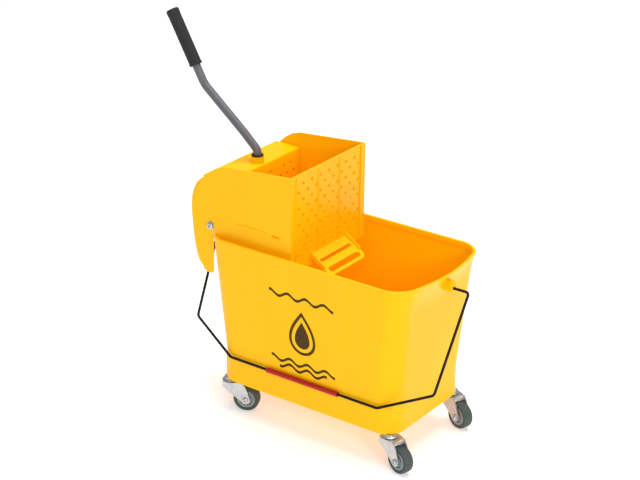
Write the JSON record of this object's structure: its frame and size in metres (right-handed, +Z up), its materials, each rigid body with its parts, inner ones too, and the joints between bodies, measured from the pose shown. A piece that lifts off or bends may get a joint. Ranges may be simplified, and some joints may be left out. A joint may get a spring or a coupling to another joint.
{
  "type": "mop bucket with side-press wringer",
  "caption": "Small rectangular wash bucket on swivel casters, with a hung side-press wringer, bent press lever and wire bail handle.",
  "frame": {"origin": "middle of the footprint box, on the floor", "axes": "+Z up, +X along the bucket from the wringer end to the pouring end, +Y across it, with the bail resting on the -Y side"},
  "size_m": [0.6812, 0.27, 0.7341],
  "materials": {
    "yellow_plastic": "moulded, semi-gloss",
    "black_wire": "black coated steel wire",
    "red_plastic": "smooth red sleeve",
    "grey_paint": "grey powder coat",
    "black_rubber": "ribbed black rubber",
    "grey_tread": "grey-green wheel tread",
    "grey_hub": "moulded grey",
    "zinc": "zinc plated"
  },
  "bodies": {
    "bucket": {"bucket": "yellow_plastic", "stem_near_left": "zinc", "stem_near_right": "zinc", "stem_far_left": "zinc", "stem_far_right": "zinc"},
    "wringer": {"wringer_body": "yellow_plastic", "pivot_bolt_near": "zinc", "pivot_bolt_far": "zinc", "pivot_washer_near": "zinc", "pivot_washer_far": "zinc"},
    "press": {"press_plate": "yellow_plastic", "lever_tube": "grey_paint", "lever_grip": "black_rubber", "lever_collar": "black_rubber", "lever_bolt": "zinc", "lever_nut": "zinc"},
    "bail": {"bail_wire": "black_wire"},
    "bail_grip": {"bail_grip": "red_plastic"},
    "swivel_near_left": {"race_near_left": "zinc", "fork_near_left": "zinc", "axle_near_left": "zinc", "axle_nut_near_left": "zinc"},
    "wheel_near_left": {"hub_near_left": "grey_hub", "tyre_near_left": "grey_tread"},
    "swivel_near_right": {"race_near_right": "zinc", "fork_near_right": "zinc", "axle_near_right": "zinc", "axle_nut_near_right": "zinc"},
    "wheel_near_right": {"hub_near_right": "grey_hub", "tyre_near_right": "grey_tread"},
    "swivel_far_left": {"race_far_left": "zinc", "fork_far_left": "zinc", "axle_far_left": "zinc", "axle_nut_far_left": "zinc"},
    "wheel_far_left": {"hub_far_left": "grey_hub", "tyre_far_left": "grey_tread"},
    "swivel_far_right": {"race_far_right": "zinc", "fork_far_right": "zinc", "axle_far_right": "zinc", "axle_nut_far_right": "zinc"},
    "wheel_far_right": {"hub_far_right": "grey_hub", "tyre_far_right": "grey_tread"}
  },
  "joints": [
    {"name": "wringer_lift", "type": "slide", "parent": "bucket", "child": "wringer", "axis": [0, 0, 1], "range_m": [0, 0.045]},
    {"name": "press_lever", "type": "hinge", "parent": "wringer", "child": "press", "pos_m": [-0.14983, 0, 0.375], "axis": [0, 1, 0], "range_deg": [0, 55]},
    {"name": "bail_swing", "type": "hinge", "parent": "bucket", "child": "bail", "pos_m": [0.06717, 0, 0.332], "axis": [-1, 0, 0], "range_deg": [0, 143]},
    {"name": "bail_grip_turn", "type": "hinge", "parent": "bail", "child": "bail_grip", "pos_m": [0.06717, -0.12508, 0.12134], "axis": [1, 0, 0], "continuous": true},
    {"name": "swivel_near_left", "type": "hinge", "parent": "bucket", "child": "swivel_near_left", "pos_m": [-0.11433, -0.1035, 0.061], "axis": [0, 0, 1], "continuous": true},
    {"name": "wheel_near_left", "type": "hinge", "parent": "swivel_near_left", "child": "wheel_near_left", "pos_m": [-0.08626, -0.09158, 0.0254], "axis": [-0.3907, 0.9205, 0], "continuous": true},
    {"name": "swivel_near_right", "type": "hinge", "parent": "bucket", "child": "swivel_near_right", "pos_m": [0.24867, -0.1035, 0.061], "axis": [0, 0, 1], "continuous": true},
    {"name": "wheel_near_right", "type": "hinge", "parent": "swivel_near_right", "child": "wheel_near_right", "pos_m": [0.27813, -0.11139, 0.0254], "axis": [0.2588, 0.9659, 0], "continuous": true},
    {"name": "swivel_far_left", "type": "hinge", "parent": "bucket", "child": "swivel_far_left", "pos_m": [-0.11433, 0.1035, 0.061], "axis": [0, 0, 1], "continuous": true},
    {"name": "wheel_far_left", "type": "hinge", "parent": "swivel_far_left", "child": "wheel_far_left", "pos_m": [-0.0845, 0.10984, 0.0254], "axis": [-0.2079, 0.9781, 0], "continuous": true},
    {"name": "swivel_far_right", "type": "hinge", "parent": "bucket", "child": "swivel_far_right", "pos_m": [0.24867, 0.1035, 0.061], "axis": [0, 0, 1], "continuous": true},
    {"name": "wheel_far_right", "type": "hinge", "parent": "swivel_far_right", "child": "wheel_far_right", "pos_m": [0.27783, 0.09458, 0.0254], "axis": [0.2924, 0.9563, 0], "continuous": true}
  ]
}
